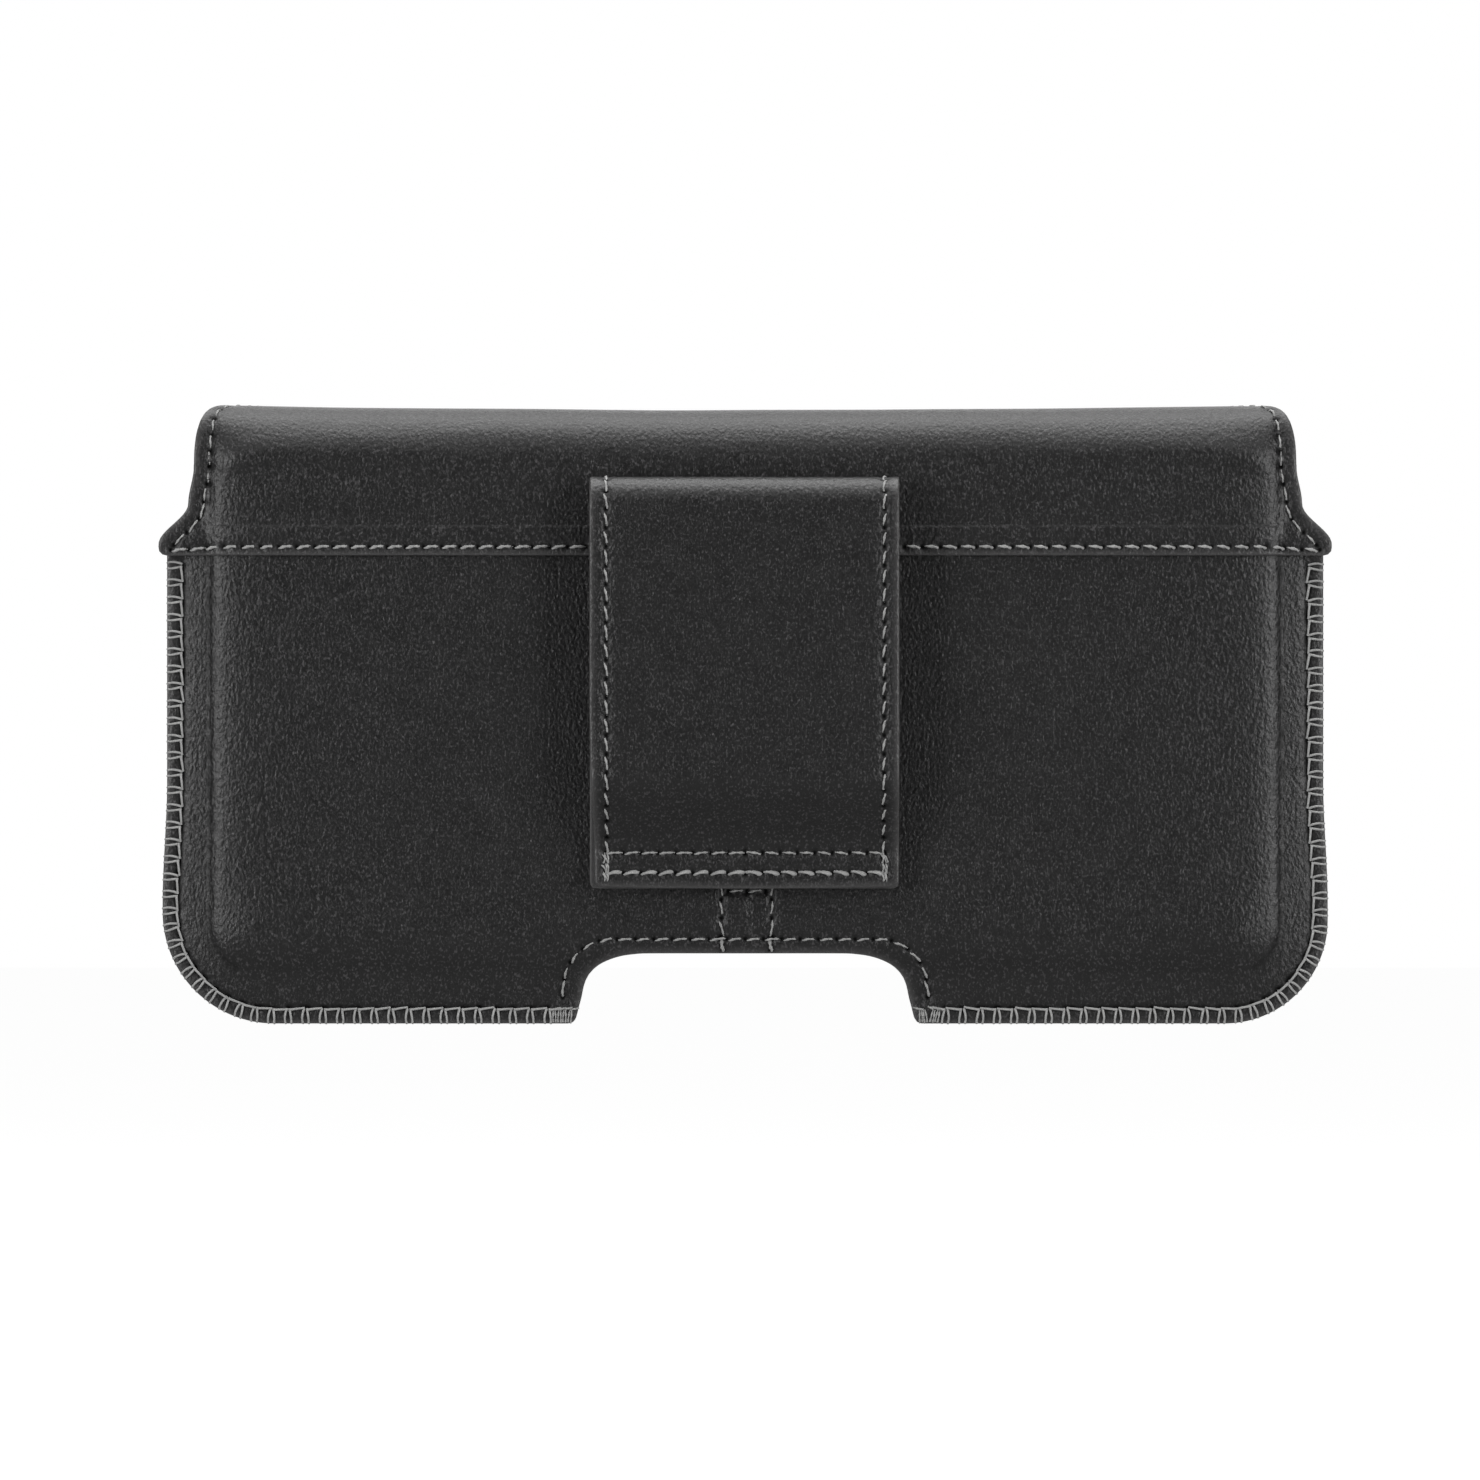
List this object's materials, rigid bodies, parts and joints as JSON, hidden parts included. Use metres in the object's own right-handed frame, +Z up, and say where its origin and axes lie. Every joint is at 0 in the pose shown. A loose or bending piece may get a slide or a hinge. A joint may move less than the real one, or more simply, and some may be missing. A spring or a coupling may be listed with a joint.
{
  "type": "phone belt holster",
  "caption": "Horizontal black leather phone holster with a moulded pocket, a fold-over magnetic flap, a push-out notch in the foot and a sewn belt loop on the back.",
  "frame": {"origin": "middle of the belt passage, where the middle of the belt lies", "axes": "+X along the phone, to the right when the belt side is looked at; +Y away from the wearer, towards the flap's face; +Z up"},
  "size_m": [0.182, 0.0334, 0.096],
  "materials": {
    "leather": "fine-grained black leather, satin",
    "inner_leather": "smooth black leather, matt",
    "lining": "close black cloth",
    "board": "grey stiffening board",
    "padding": "thin grey felt",
    "steel": "plain zinc-plated disc",
    "magnet": "nickel-plated disc magnet",
    "thread": "light grey waxed thread"
  },
  "bodies": {
    "holster": {"back_panel": "leather", "back_board": "board", "back_padding": "padding", "pocket_lining_rear": "lining", "front_panel": "leather", "front_board": "board", "pocket_lining_front": "lining", "keeper_plates": "steel", "flap_rear_leaf": "leather", "flap_rear_lining": "inner_leather", "belt_loop": "leather", "belt_loop_lining": "inner_leather", "seam_backing": "lining", "rear_seam_stitching": "thread", "flap_side_stitching": "thread", "belt_loop_stitching": "thread", "notch_stitching_rear": "thread", "notch_stitching_front": "thread", "centre_seam_stitching": "thread", "mouth_stitching": "thread", "edge_stitching": "thread"},
    "flap": {"flap_leather": "leather", "flap_lining": "inner_leather", "flap_magnets": "magnet", "flap_front_stitching": "thread"}
  },
  "joints": [
    {"name": "flap_hinge", "type": "hinge", "parent": "holster", "child": "flap", "pos_m": [0, 0.00633, 0.03747], "axis": [1, 0, 0], "range_deg": [0, 180]}
  ]
}
